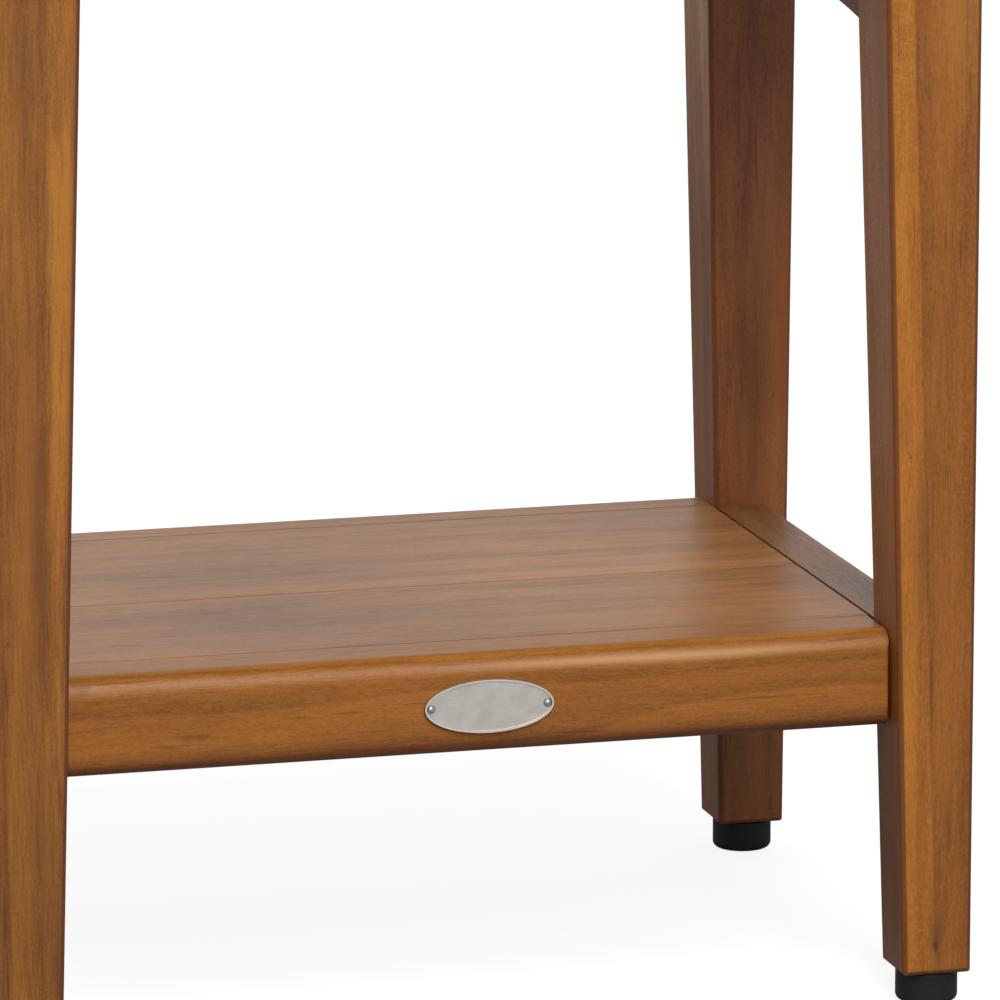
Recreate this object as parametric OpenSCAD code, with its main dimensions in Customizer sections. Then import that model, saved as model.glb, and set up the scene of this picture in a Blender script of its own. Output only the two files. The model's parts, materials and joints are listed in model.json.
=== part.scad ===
// Teak shower bench with a lower shelf.
// Two end frames (tapered legs joined by side rails) carry a slatted seat and a
// boarded shelf.  All lengths are millimetres.  The floor is z = 0, the middle of
// the bench is x = 0, y = 0, and the front, with the oval plate, faces -Y.

/* [Overall] */
// Height from the floor to the top of the seat
total_h = 464; // [430:1:520]
// Seat length, left to right
seat_w = 457; // [420:1:480]
// Seat depth, front to back
seat_d = 305; // [280:1:320]

/* [Legs] */
// How far the legs stand in from the two ends of the seat
leg_in_side = 28.5; // [15:0.5:40]
// How far the legs stand in from the front and back edges of the seat
leg_in_front = 11.2; // [4:0.1:20]
// Leg thickness at the top, both ways
leg_top = 40.2; // [36:0.1:42]
// Leg thickness at the foot, both ways
leg_foot = 28.6; // [27:0.1:32]
// Rounding of the long edges of a leg
leg_ease = 2.4; // [0.8:0.1:3]

/* [Side rails] */
// Thickness of the side rails
rail_t = 22; // [19:0.1:23]
// How far rails and shelf lie behind the outer faces of the legs
setback = 9.5; // [7:0.1:10]
// Height of an upper side rail at the legs
upper_rail_h = 56; // [48:0.5:62]
// Rise of the arch cut into the lower edge of an upper side rail
arch_rise = 10; // [4:0.5:14]
// Height of a lower side rail
lower_rail_h = 38; // [34:0.5:42]
// Rounding of the long edges of the lower side rails
rail_ease = 1.5; // [0.8:0.1:2.2]

/* [Seat] */
// Thickness of the front and back rail of the seat
seat_rail_h = 30; // [27:0.5:34]
// How far the seat rails stop short of the legs' inner faces
seat_rail_short = 1; // [0.2:0.1:3]
// Thickness of a seat slat
slat_h = 20; // [17:0.5:23]
// Number of slats between the two seat rails
slat_count = 4; // [3:1:5]
// Drainage gap beside each slat
drain_gap = 6; // [4:0.5:9]
// Large rounding along the front and back top edges of the seat
seat_round = 9; // [5:0.5:11]
// Rounding of the bottom edges below it
seat_round_low = 4.5; // [3:0.5:6]
// Rounding of the top edges at the seat's two ends
end_round = 4.5; // [3:0.5:6]
// Rounding of the bottom edges at the seat's two ends
end_round_low = 3; // [2:0.5:5]
// Rounding of the seat corners, seen from above
seat_corner = 12; // [8:0.5:16]
// Small rounding of the edges beside the drainage gaps
seat_ease = 2.5; // [1.5:0.1:3]
// Small rounding of the slats' bottom edges
slat_ease = 1; // [0.5:0.1:2]

/* [Shelf] */
// Height from the floor to the top of the shelf
shelf_z = 153.8; // [130:0.1:220]
// Height of the front and back rail of the shelf
shelf_rail_h = 39.2; // [35:0.1:44]
// Width of the shelf's front rail, front to back
shelf_front_d = 28.2; // [24:0.1:32]
// Width of the shelf's back rail, front to back
shelf_back_d = 16.5; // [15:0.1:22]
// Thickness of a shelf board
board_h = 15; // [13:0.5:17]
// Depth of the front board as a share of both boards
front_board_share = 0.45; // [0.4:0.01:0.6]
// Large rounding of the front rail's top edge
shelf_round = 8.5; // [5:0.5:9]
// Rounding of the front rail's bottom edge
shelf_round_low = 5; // [2:0.5:6]
// Small rounding of the other shelf edges
shelf_ease = 0.6; // [0.4:0.1:1]
// Rounding of the edges at both ends of the shelf's front rail
shelf_end_ease = 1.2; // [0.6:0.1:2]
// Room between each end of the shelf and the end frame
shelf_room = 0.3; // [0.2:0.1:0.8]

/* [Cleats] */
// Width of the cleats at both ends of seat and shelf
cleat_w = 25; // [22:0.5:30]
// Height of the cleats and bearers
cleat_h = 20; // [18:0.5:20]
// Width of the middle bearers
bearer_w = 44; // [36:1:60]
// Length of the tongue at each end of the seat bearer
tongue_l = 24; // [20:1:30]

/* [Levelling feet] */
// Distance from the floor to the bottom of the legs
foot_h = 13.2; // [12:0.1:16]
// Diameter of a foot pad
pad_d = 25; // [22:0.1:26]
// Rounding of the pad's bottom edge
pad_round = 2.6; // [1.5:0.1:3.5]
// Rounding of the pad's top edge
pad_ease = 0.8; // [0.3:0.1:1]
// Diameter of the threaded stud
stud_d = 8; // [6:0.5:8]
// Length of the stud above the floor of the leg
stud_l = 26; // [23:1:34]
// Diameter of the flange that the pad is moulded on
flange_d = 16; // [14:0.5:18]
// Thickness of that flange
flange_t = 2.5; // [2:0.1:3]
// Height of the flange above the floor
flange_z = 4; // [3:0.1:5]
// Outer diameter of the threaded insert in a leg
foot_insert_d = 11; // [10:0.5:12]
// Length of the threaded insert in a leg
foot_insert_l = 18; // [14:1:20]

/* [Oval plate] */
// Width of the blank plate
plate_w = 52.5; // [40:0.5:70]
// Height of the blank plate
plate_h = 21.5; // [18:0.5:26]
// Thickness of the plate inside its rim
plate_t = 0.9; // [0.6:0.1:1.2]
// Width of the raised rim
plate_rim = 0.9; // [0.6:0.1:1.6]
// Height of the rim above the plate
plate_rim_h = 0.5; // [0.3:0.1:0.8]
// Sideways place of the plate's middle
plate_x = 2.3; // [-60:0.1:60]
// Height of the plate's middle above the shelf rail's bottom edge
plate_up = 18.9; // [15:0.1:20]
// Diameter of the pins that hold the plate
pin_d = 2.8; // [2:0.1:3]
// Diameter of a pin's shank in the wood
pin_shank_d = 1.2; // [0.8:0.1:1.6]
// Length of a pin's shank in the wood
pin_l = 8; // [5:0.5:10]
// Diameter of the flat on a pin's head
pin_flat_d = 1.7; // [1.4:0.1:2]
// Height of a pin's head above the plate
pin_proud = 0.5; // [0.3:0.1:0.8]
// Distance of a pin from the plate's end
pin_inset = 2.5; // [2.2:0.1:4]

/* [Fasteners] */
// Diameter of the dowels in the side rails and shelf rails
dowel_d = 8; // [7:0.5:9]
// Length of a dowel on each side of its joint
dowel_half = 15; // [12:0.5:16]
// Depth of the shelf dowels in the shelf's rails
dowel_short = 10; // [8:0.5:11]
// Height of the lower dowel above the bottom of its rail
dowel_up = 9.5; // [8:0.5:11]
// Distance between the two dowels of a joint
dowel_pitch = 16; // [14:0.5:17]
// Diameter of the dowels between the legs and the seat rails
top_dowel_d = 10; // [8:0.5:12]
// Length of those dowels on each side of the joint
top_dowel_half = 12; // [10:0.5:14]
// Diameter of the frame bolts
bolt_d = 6; // [5:0.5:7]
// Diameter of a bolt's head
bolt_head_d = 11; // [10:0.5:12]
// Height of a bolt's head
bolt_head_h = 3.4; // [2.5:0.1:4]
// Width across the corners of the hex socket in a bolt's head
socket_d = 4.6; // [3.5:0.1:5]
// Diameter of a bolt's washer
washer_d = 14; // [13:0.5:15]
// Thickness of a bolt's washer
washer_t = 1.2; // [1:0.1:1.6]
// How far a bolt's head lies below the face of its rail
head_sink = 0.6; // [0.2:0.1:1.5]
// Outer diameter of the threaded insert in a cleat
bolt_insert_d = 9; // [8:0.5:10]
// Length of the threaded insert in a cleat
bolt_insert_l = 13; // [10:1:15]
// Diameter of the wood screws
screw_d = 4; // [3.5:0.1:4.5]
// Diameter of a wood screw's head
screw_head_d = 8; // [7:0.1:9]
// Depth of a wood screw in the slat or board above the cleat
screw_bite = 10; // [8:0.5:11]

/* [Fits] */
// Glue line between two pieces of wood
fit = 0.1; // [0.05:0.01:0.2]
// Room round dowels, inserts, bolts and screws
bore_fit = 0.05; // [0.03:0.01:0.1]
// Room between two shelf boards
board_gap = 0.4; // [0.2:0.1:0.8]
// Room between a foot pad and the leg above it
pad_gap = 0.3; // [0.2:0.1:0.6]
// Room round a stud where it passes into the leg
stud_room = 0.5; // [0.3:0.1:1]
// Room round the flange inside a foot pad
flange_fit = 0.1; // [0.05:0.01:0.2]
// Room between the ends of a cleat or bearer and the wood beyond them
cleat_end_gap = 0.5; // [0.3:0.1:2]
// Room round a washer in its recess
recess_room = 0.5; // [0.3:0.1:1]
// How far a bolt stops short of the end of its insert
bolt_tip_gap = 1; // [0.5:0.1:2]
// Room past the end of a bolt's insert
insert_tip_room = 3; // [1:0.5:4]

/* [Hidden] */
$fn = 96;

TEAK = "#b8743a";
TEAK_DARK = "#8a5230";
BEECH = "#d9b98a";
RUBBER = "#232326";
STEEL = "#b9bcc0";
BRASS = "#b8994a";
PLATE = "#a9abad";

LEFT = -1;
RIGHT = 1;
FRONT = -1;
BACK = 1;
CORNERS = [[LEFT, FRONT], [RIGHT, FRONT], [LEFT, BACK], [RIGHT, BACK]];
// How far a cutting shape passes the face it cuts
over = 1;

// Over the outer faces of the legs
frame_w = seat_w - 2 * leg_in_side;
frame_d = seat_d - 2 * leg_in_front;

// Legs: the two outer faces are upright, the two inner faces lean inwards
leg_z1 = total_h - seat_rail_h - fit;
leg_slope = (leg_top - leg_foot) / (leg_z1 - foot_h);
function leg_size(z) = leg_foot + leg_slope * (z - foot_h);

// Side rails
rail_x1 = frame_w / 2 - setback;
rail_x0 = rail_x1 - rail_t;
rail_x = (rail_x0 + rail_x1) / 2;
slat_z0 = total_h - slat_h;
upper_z1 = slat_z0 - fit;
upper_z0 = upper_z1 - upper_rail_h;
lower_z1 = shelf_z;
lower_z0 = lower_z1 - lower_rail_h;
function rail_end(z) = frame_d / 2 - leg_size(z) - fit;

// Seat
seat_rail_z0 = total_h - seat_rail_h;
seat_inner_y = frame_d / 2 - leg_top + seat_rail_short;
slat_pitch = (2 * seat_inner_y - drain_gap) / slat_count;
slat_w = slat_pitch - drain_gap;
function slat_y(i) = -seat_inner_y + drain_gap + slat_w / 2 + i * slat_pitch;

// Shelf, which fits between the legs and between the lower side rails
shelf_half = frame_w / 2 - max(leg_size(shelf_z), setback + rail_t) - shelf_room;
shelf_y = frame_d / 2 - setback;
board_y0 = -shelf_y + shelf_front_d;
board_y1 = shelf_y - shelf_back_d;
board_split = board_y0 + (board_y1 - board_y0) * front_board_share;
board_z0 = shelf_z - board_h;
shelf_rail_z0 = shelf_z - shelf_rail_h;
// [y at the front, y at the back] of the two boards, front board first
BOARDS = [
    [board_y0 + board_gap / 2, board_split - board_gap / 2],
    [board_split + board_gap / 2, board_y1 - board_gap / 2]
];
function board_mid(i) = (BOARDS[i][0] + BOARDS[i][1]) / 2;
function board_quarter(i) = (BOARDS[i][1] - BOARDS[i][0]) / 4;

// Cleats hang under the slats and boards, against the side rails
cleat_x1 = shelf_half;
cleat_x = cleat_x1 - cleat_w / 2;
seat_cleat_z0 = slat_z0 - fit - cleat_h;
shelf_cleat_z0 = board_z0 - fit - cleat_h;

// Bolts: between two slats of the seat, and at the middle of each shelf board
seat_bolt_y = seat_inner_y - drain_gap / 2 - slat_pitch;
SEAT_BOLTS = [-seat_bolt_y, seat_bolt_y];
SHELF_BOLTS = [board_mid(0), board_mid(1)];
seat_bolt_z = seat_cleat_z0 + cleat_h / 2;
shelf_bolt_z = shelf_cleat_z0 + cleat_h / 2;
recess_d = washer_d + 2 * recess_room;
recess_x = rail_x1 - washer_t - bolt_head_h - head_sink;
bolt_tip_x = cleat_x1 - bolt_insert_l + bolt_tip_gap;
insert_hole_deep = bolt_insert_l + insert_tip_room;

// Wood screws: [x, y] of each
screw_xs = [-cleat_x, 0, cleat_x];
SEAT_SCREWS = [for (x = screw_xs, i = [0:slat_count - 1]) [x, slat_y(i)]];
TONGUE_SCREWS = [for (s = [FRONT, BACK]) [0, s * (seat_inner_y + tongue_l / 2)]];
SHELF_SCREWS = [
    for (x = screw_xs, i = [0, 1], s = [-1, 1]) [x, board_mid(i) + s * board_quarter(i)]
];
tongue_h = seat_rail_z0 - fit - seat_cleat_z0;
// From a screw's head, flush under the cleat, to the bottom of what it holds
through_cleat = cleat_h + fit;
through_tongue = tongue_h + fit;

// Levelling feet, under the middle of each leg's foot
foot_x = frame_w / 2 - leg_foot / 2;
foot_y = frame_d / 2 - leg_foot / 2;
pad_top = foot_h - pad_gap;
stud_top = foot_h + stud_l;

// Leg top dowels
top_dowel_x = frame_w / 2 - leg_top / 2;
top_dowel_y = frame_d / 2 - leg_top / 2;

// Oval plate
plate_z = shelf_rail_z0 + plate_up;
plate_points = 96;
pin_x = plate_w / 2 - pin_inset;

// ---------------------------------------------------------------- shapes

// Puts a piece that is drawn for the right back corner at another corner
module at_corner(corner) {
    mirror([corner[0] < 0 ? 1 : 0, 0, 0])
        mirror([0, corner[1] < 0 ? 1 : 0, 0])
            children();
}

module on_side(side) {
    mirror([side < 0 ? 1 : 0, 0, 0]) children();
}

// The outline lies in Y and Z, and is drawn out along X
module along_x(length) {
    rotate([90, 0, 90]) linear_extrude(length, center = true) children();
}

// The outline lies in X and Z, and is drawn out along Y
module along_y(length) {
    rotate([90, 0, 0]) linear_extrude(length, center = true) children();
}

module pin_x_way(x0, x1, r) {
    translate([x0, 0, 0]) rotate([0, 90, 0]) cylinder(h = x1 - x0, r = r);
}

module pin_y_way(y0, y1, r) {
    translate([0, y1, 0]) rotate([90, 0, 0]) cylinder(h = y1 - y0, r = r);
}

// What a rounding of radius r takes off the corner of an outline at the origin.  One
// side of the corner lies along +X, and the other stands at the angle to it.
module corner_waste(r, angle = 90) {
    reach = r / tan(angle / 2);
    if (r > 0) difference() {
        polygon([
            [reach, r], [reach, -over], [-over, -over],
            [reach * cos(angle) - over * sin(angle), reach * sin(angle) + over * cos(angle)]
        ]);
        translate([reach, r]) circle(r);
    }
}

// A rectangle with its own rounding at each corner:
// low left, low right, high right and high left
module plank_outline(x0, x1, y0, y1, r) {
    difference() {
        translate([x0, y0]) square([x1 - x0, y1 - y0]);
        translate([x0, y0]) corner_waste(r[0]);
        translate([x1, y0]) mirror([1, 0]) corner_waste(r[1]);
        translate([x1, y1]) rotate(180) corner_waste(r[2]);
        translate([x0, y1]) mirror([0, 1]) corner_waste(r[3]);
    }
}

// ---------------------------------------------------------------- legs

// Elevation of a leg from the front or from the side: its outer face is upright
module leg_outline(outer) {
    difference() {
        polygon([
            [outer - leg_foot, foot_h], [outer, foot_h],
            [outer, leg_z1], [outer - leg_top, leg_z1]
        ]);
        translate([outer - leg_size(foot_h + leg_ease + over), foot_h]) corner_waste(leg_ease);
        translate([outer, foot_h]) mirror([1, 0]) corner_waste(leg_ease);
    }
}

// What the rounding of a leg's long edge takes off.  The edge runs from `start` along
// `way`.  One of its faces lies to `side`, square to the edge; the other is at the angle.
module edge_waste(start, way, side, angle = 90) {
    z = way / norm(way);
    x = side / norm(side);
    y = cross(z, x);
    multmatrix([
        [x[0], y[0], z[0], start[0]], [x[1], y[1], z[1], start[1]],
        [x[2], y[2], z[2], start[2]], [0, 0, 0, 1]
    ])
        translate([0, 0, -over]) linear_extrude(total_h) corner_waste(leg_ease, angle);
}

// The leg at the right back corner
module leg_body() {
    x1 = frame_w / 2;
    y1 = frame_d / 2;
    x0 = x1 - leg_foot;
    y0 = y1 - leg_foot;
    k = leg_slope;
    inner_angle = acos(-k * k / (1 + k * k));
    difference() {
        intersection() {
            along_y(frame_d + over) leg_outline(x1);
            along_x(frame_w + over) leg_outline(y1);
        }
        edge_waste([x1, y1, foot_h], [0, 0, 1], [-1, 0, 0]);
        edge_waste([x0, y1, foot_h], [-k, 0, 1], [0, -1, 0]);
        edge_waste([x1, y0, foot_h], [0, -k, 1], [0, 1, k]);
        edge_waste([x0, y0, foot_h], [-k, -k, 1], [1 + k * k, -k * k, k], inner_angle);
    }
}

module leg(corner) {
    color(TEAK) at_corner(corner) difference() {
        leg_body();
        translate([foot_x, foot_y, foot_h - over])
            cylinder(h = foot_insert_l + fit + over, r = foot_insert_d / 2 + bore_fit);
        translate([foot_x, foot_y, foot_h])
            cylinder(h = stud_l + over, r = stud_d / 2 + stud_room);
        rail_dowels(upper_z0, bore_fit);
        rail_dowels(lower_z0, bore_fit);
        top_dowel(bore_fit);
    }
}

// ---------------------------------------------------------------- dowels

// The two dowels between a side rail and the leg at the right back corner
module rail_dowels(z0, room) {
    for (z = [z0 + dowel_up, z0 + dowel_up + dowel_pitch]) {
        y = frame_d / 2 - leg_size(z);
        translate([rail_x, 0, z])
            pin_y_way(y - dowel_half - room, y + dowel_half + room, dowel_d / 2 + room);
    }
}

module top_dowel(room) {
    translate([top_dowel_x, top_dowel_y, leg_z1 - top_dowel_half - room])
        cylinder(h = 2 * (top_dowel_half + room), r = top_dowel_d / 2 + room);
}

// The dowels between the shelf's rails and one cleat or bearer, at x = 0
module shelf_dowel_pair(room) {
    r = dowel_d / 2 + room;
    translate([0, 0, shelf_bolt_z]) {
        pin_y_way(board_y0 - dowel_short - room, board_y0 + dowel_half + room, r);
        pin_y_way(board_y1 - dowel_half - room, board_y1 + dowel_short + room, r);
    }
}

module all_rail_dowels(z0) {
    color(BEECH) for (corner = CORNERS) at_corner(corner) rail_dowels(z0, 0);
}

module leg_top_dowels() {
    color(BEECH) for (corner = CORNERS) at_corner(corner) top_dowel(0);
}

module shelf_dowels() {
    color(BEECH) for (x = screw_xs) translate([x, 0, 0]) shelf_dowel_pair(0);
}

// ---------------------------------------------------------------- side rails

// Elevation of a side rail: its ends follow the lean of the legs
module rail_outline(z0, z1) {
    polygon([
        [-rail_end(z0), z0], [rail_end(z0), z0], [rail_end(z1), z1], [-rail_end(z1), z1]
    ]);
}

// The disc whose edge is the arch in the lower edge of an upper side rail
module arch_outline() {
    span = rail_end(upper_z0);
    radius = (span * span + arch_rise * arch_rise) / (2 * arch_rise);
    translate([0, upper_z0 + arch_rise - radius]) circle(radius, $fn = 4 * $fn);
}

module rail_holes(ys, z) {
    for (y = ys) translate([0, y, z]) {
        pin_x_way(rail_x0 - over, rail_x1, bolt_d / 2 + bore_fit);
        pin_x_way(recess_x, rail_x1 + over, recess_d / 2);
    }
}

module upper_side_rail(side) {
    color(TEAK) on_side(side) difference() {
        translate([rail_x, 0, 0]) along_x(rail_t) difference() {
            rail_outline(upper_z0, upper_z1);
            arch_outline();
        }
        rail_holes(SEAT_BOLTS, seat_bolt_z);
        for (s = [FRONT, BACK]) at_corner([RIGHT, s]) rail_dowels(upper_z0, bore_fit);
    }
}

module lower_side_rail(side) {
    color(TEAK) on_side(side) difference() {
        intersection() {
            translate([rail_x, 0, 0]) along_x(rail_t) rail_outline(lower_z0, lower_z1);
            along_y(frame_d) plank_outline(
                rail_x0, rail_x1, lower_z0, lower_z1, [rail_ease, rail_ease, rail_ease, 0]
            );
        }
        rail_holes(SHELF_BOLTS, shelf_bolt_z);
        for (s = [FRONT, BACK]) at_corner([RIGHT, s]) rail_dowels(lower_z0, bore_fit);
    }
}

// ---------------------------------------------------------------- seat

// Elevation of a seat piece from the front, with its rounded ends
module seat_end_outline(z0) {
    plank_outline(
        -seat_w / 2, seat_w / 2, z0, total_h,
        [end_round_low, end_round_low, end_round, end_round]
    );
}

// Front or back rail of the seat, drawn at the back
module seat_rail_body() {
    intersection() {
        along_x(seat_w) plank_outline(
            seat_inner_y, seat_d / 2, seat_rail_z0, total_h,
            [seat_ease, seat_round_low, seat_round, seat_ease]
        );
        along_y(seat_d) seat_end_outline(seat_rail_z0);
        linear_extrude(total_h) plank_outline(
            -seat_w / 2, seat_w / 2, seat_inner_y, seat_d / 2,
            [0, 0, seat_corner, seat_corner]
        );
    }
}

module seat_rail(side) {
    color(TEAK) mirror([0, side < 0 ? 1 : 0, 0]) difference() {
        seat_rail_body();
        for (s = [LEFT, RIGHT]) at_corner([s, BACK]) top_dowel(bore_fit);
        for (p = TONGUE_SCREWS) translate([p[0], p[1], seat_rail_z0])
            screw(through_tongue, bore_fit);
    }
}

module seat_slat(i) {
    y = slat_y(i);
    color(TEAK) difference() {
        intersection() {
            along_x(seat_w) plank_outline(
                y - slat_w / 2, y + slat_w / 2, slat_z0, total_h,
                [slat_ease, slat_ease, seat_ease, seat_ease]
            );
            along_y(seat_d) seat_end_outline(slat_z0);
        }
        for (x = screw_xs) translate([x, y, slat_z0]) screw(through_cleat, bore_fit);
    }
}

// Cleat between two legs, against the inner face of a side rail
module seat_cleat(side) {
    end = frame_d / 2 - leg_top - cleat_end_gap;
    color(TEAK_DARK) on_side(side) difference() {
        translate([cleat_x1 - cleat_w, -end, seat_cleat_z0]) cube([cleat_w, 2 * end, cleat_h]);
        insert_holes(SEAT_BOLTS, seat_bolt_z);
        for (i = [0:slat_count - 1]) translate([cleat_x, slat_y(i), slat_z0])
            screw(through_cleat, bore_fit);
    }
}

// Middle bearer: it carries the slats, and a tongue at each end lies under a seat rail
module seat_bearer() {
    long = seat_inner_y + tongue_l;
    short = seat_inner_y - cleat_end_gap;
    color(TEAK_DARK) difference() {
        translate([-bearer_w / 2, 0, 0]) union() {
            translate([0, -long, seat_cleat_z0]) cube([bearer_w, 2 * long, tongue_h]);
            translate([0, -short, seat_cleat_z0]) cube([bearer_w, 2 * short, cleat_h]);
        }
        for (i = [0:slat_count - 1]) translate([0, slat_y(i), slat_z0])
            screw(through_cleat, bore_fit);
        for (p = TONGUE_SCREWS) translate([p[0], p[1], seat_rail_z0])
            screw(through_tongue, bore_fit);
    }
}

// ---------------------------------------------------------------- shelf

// The shelf's front rail, with all edges of its two ends eased but the hidden ones
module shelf_front_rail_body() {
    e = shelf_end_ease;
    intersection() {
        along_x(2 * shelf_half) plank_outline(
            -shelf_y, board_y0, shelf_rail_z0, shelf_z,
            [shelf_round_low, shelf_ease, shelf_ease, shelf_round]
        );
        along_y(seat_d) plank_outline(
            -shelf_half, shelf_half, shelf_rail_z0, shelf_z, [e, e, e, e]
        );
        linear_extrude(total_h) plank_outline(
            -shelf_half, shelf_half, -shelf_y, board_y0, [e, e, 0, 0]
        );
    }
}

module shelf_front_rail() {
    color(TEAK) difference() {
        shelf_front_rail_body();
        for (x = screw_xs) translate([x, 0, 0]) shelf_dowel_pair(bore_fit);
        for (s = [LEFT, RIGHT]) translate([plate_x + s * pin_x, 0, plate_z])
            pin_y_way(-shelf_y - over, -shelf_y + pin_l + over, pin_shank_d / 2 + bore_fit);
    }
}

module shelf_back_rail() {
    color(TEAK) difference() {
        along_x(2 * shelf_half) plank_outline(
            board_y1, shelf_y, shelf_rail_z0, shelf_z,
            [shelf_ease, 2 * shelf_ease, 2 * shelf_ease, shelf_ease]
        );
        for (x = screw_xs) translate([x, 0, 0]) shelf_dowel_pair(bore_fit);
    }
}

module shelf_board(i) {
    color(TEAK) difference() {
        along_x(2 * shelf_half) plank_outline(
            BOARDS[i][0], BOARDS[i][1], board_z0, shelf_z,
            [shelf_ease, shelf_ease, shelf_ease, shelf_ease]
        );
        for (p = SHELF_SCREWS) translate([p[0], p[1], board_z0]) screw(through_cleat, bore_fit);
    }
}

module shelf_cross_piece(x, width) {
    y0 = board_y0 + fit;
    y1 = board_y1 - fit;
    difference() {
        translate([x - width / 2, y0, shelf_cleat_z0]) cube([width, y1 - y0, cleat_h]);
        translate([x, 0, 0]) shelf_dowel_pair(bore_fit);
        for (p = SHELF_SCREWS) translate([x, p[1], board_z0]) screw(through_cleat, bore_fit);
    }
}

module shelf_cleat(side) {
    color(TEAK_DARK) on_side(side) difference() {
        shelf_cross_piece(cleat_x, cleat_w);
        insert_holes(SHELF_BOLTS, shelf_bolt_z);
    }
}

module shelf_bearer() {
    color(TEAK_DARK) shelf_cross_piece(0, bearer_w);
}

// ---------------------------------------------------------------- screws and bolts

// A countersunk wood screw.  Its head's face lies `below` under z = 0 and its point is
// above z = 0; with room it is the hole that the screw passes through.
module screw(below, room) {
    r = screw_d / 2 + room;
    head_r = screw_head_d / 2 + 2 * room;
    translate([0, 0, -below]) {
        cylinder(h = below + screw_bite + room, r = r);
        cylinder(h = head_r - r, r1 = head_r, r2 = r);
        if (room > 0) translate([0, 0, -over]) cylinder(h = over, r = head_r);
    }
}

module seat_screws() {
    color(STEEL) {
        for (p = SEAT_SCREWS) translate([p[0], p[1], slat_z0]) screw(through_cleat, 0);
        for (p = TONGUE_SCREWS) translate([p[0], p[1], seat_rail_z0]) screw(through_tongue, 0);
    }
}

module shelf_screws() {
    color(STEEL) for (p = SHELF_SCREWS) translate([p[0], p[1], board_z0])
        screw(through_cleat, 0);
}

module insert_holes(ys, z) {
    for (y = ys) translate([0, y, z])
        pin_x_way(cleat_x1 - insert_hole_deep, cleat_x1 + over, bolt_insert_d / 2 + bore_fit);
}

module bolts(ys, z) {
    head_x = recess_x + washer_t;
    color(STEEL) for (side = [LEFT, RIGHT], y = ys) on_side(side) translate([0, y, z])
        difference() {
            union() {
                pin_x_way(bolt_tip_x, head_x + over, bolt_d / 2);
                pin_x_way(head_x, head_x + bolt_head_h, bolt_head_d / 2);
            }
            translate([head_x + bolt_head_h / 2, 0, 0]) rotate([0, 90, 0])
                cylinder(h = bolt_head_h, d = socket_d, $fn = 6);
        }
}

module washers(ys, z) {
    color(STEEL) for (side = [LEFT, RIGHT], y = ys) on_side(side) translate([0, y, z])
        difference() {
            pin_x_way(recess_x, recess_x + washer_t, washer_d / 2);
            pin_x_way(recess_x - over, recess_x + washer_t + over, bolt_d / 2 + bore_fit);
        }
}

module bolt_inserts(ys, z) {
    color(BRASS) for (side = [LEFT, RIGHT], y = ys) on_side(side) translate([0, y, z])
        difference() {
            pin_x_way(cleat_x1 - bolt_insert_l, cleat_x1, bolt_insert_d / 2);
            pin_x_way(cleat_x1 - bolt_insert_l - over, cleat_x1 + over, bolt_d / 2 + bore_fit);
        }
}

// ---------------------------------------------------------------- levelling feet

module stud_shape(room) {
    translate([foot_x, foot_y, 0]) {
        translate([0, 0, flange_z - room])
            cylinder(h = flange_t + 2 * room, r = flange_d / 2 + room);
        translate([0, 0, flange_z]) cylinder(h = stud_top - flange_z, r = stud_d / 2 + room);
    }
}

module foot_stud(corner) {
    color(STEEL) at_corner(corner) stud_shape(0);
}

module foot_pad(corner) {
    color(RUBBER) at_corner(corner) difference() {
        translate([foot_x, foot_y, 0]) rotate_extrude() intersection() {
            plank_outline(
                -pad_d / 2, pad_d / 2, 0, pad_top, [pad_round, pad_round, pad_ease, pad_ease]
            );
            square([pad_d, pad_top]);
        }
        stud_shape(flange_fit);
    }
}

module foot_inserts() {
    color(BRASS) for (corner = CORNERS) at_corner(corner)
        translate([foot_x, foot_y, foot_h]) difference() {
            cylinder(h = foot_insert_l, d = foot_insert_d);
            translate([0, 0, -over])
                cylinder(h = foot_insert_l + 2 * over, r = stud_d / 2 + bore_fit);
        }
}

// ---------------------------------------------------------------- oval plate

module oval(w, h) {
    polygon([
        for (i = [0:plate_points - 1])
            [w / 2 * cos(360 * i / plate_points), h / 2 * sin(360 * i / plate_points)]
    ]);
}

module oval_plate() {
    color(PLATE) translate([plate_x, -shelf_y, plate_z]) rotate([90, 0, 0]) difference() {
        linear_extrude(plate_t + plate_rim_h) oval(plate_w, plate_h);
        translate([0, 0, plate_t])
            linear_extrude(plate_rim_h + over) oval(plate_w - 2 * plate_rim, plate_h - 2 * plate_rim);
        for (s = [LEFT, RIGHT]) translate([s * pin_x, 0, -over])
            cylinder(h = plate_t + 2 * over, d = pin_d / 2 + 2 * bore_fit);
    }
}

module plate_pins() {
    color(STEEL) for (s = [LEFT, RIGHT])
        translate([plate_x + s * pin_x, -shelf_y, plate_z]) rotate([90, 0, 0]) {
            translate([0, 0, -pin_l]) cylinder(h = pin_l + plate_t, d = pin_shank_d);
            translate([0, 0, plate_t]) cylinder(h = pin_proud, d1 = pin_d, d2 = pin_flat_d);
        }
}

// ---------------------------------------------------------------- assembly

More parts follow.
